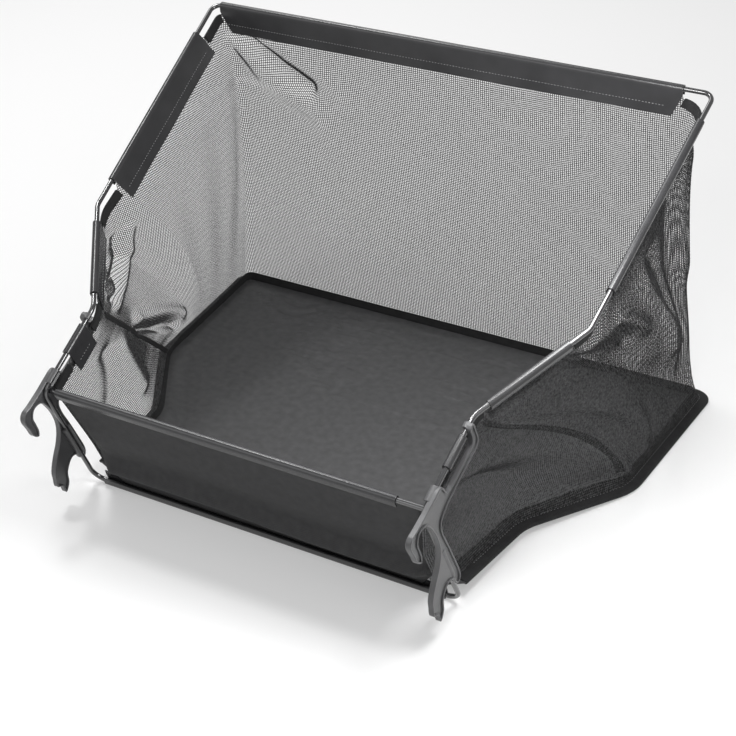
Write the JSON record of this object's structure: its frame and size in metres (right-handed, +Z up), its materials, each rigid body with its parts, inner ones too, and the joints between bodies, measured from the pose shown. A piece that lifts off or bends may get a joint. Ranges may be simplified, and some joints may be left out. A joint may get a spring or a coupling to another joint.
{
  "type": "grass catcher for a push cylinder mower",
  "caption": "Soft grass catcher: a bent wire frame holds a net bag with a closed floor and front, and moulded hooks hang it behind a mower.",
  "frame": {"origin": "middle of the bag's footprint, on the ground", "axes": "+Z up, +X to the right seen from the front, -Y to the front, where the mower is"},
  "size_m": [0.6028, 0.5348, 0.3722],
  "materials": {
    "wire": "black coated, glossy",
    "sleeve": "glossy extruded",
    "hook": "moulded, satin",
    "net": "open net of coated yarn",
    "weave": "closed weave",
    "tape": "woven tape"
  },
  "bodies": {
    "root": {"frame_wire": "wire", "cross_wire": "wire", "sleeve_top": "sleeve", "sleeve_upper_left": "sleeve", "sleeve_upper_right": "sleeve", "sleeve_mid_left": "sleeve", "sleeve_mid_right": "sleeve", "sleeve_short_left": "sleeve", "sleeve_short_right": "sleeve", "sleeve_front": "sleeve", "sleeve_bottom": "sleeve", "hook_left": "hook", "hook_right": "hook", "net_wrap": "net", "side_net_left": "net", "side_net_right": "net", "front_panel": "weave", "floor_panel": "weave", "hem_binding": "tape"}
  },
  "joints": []
}
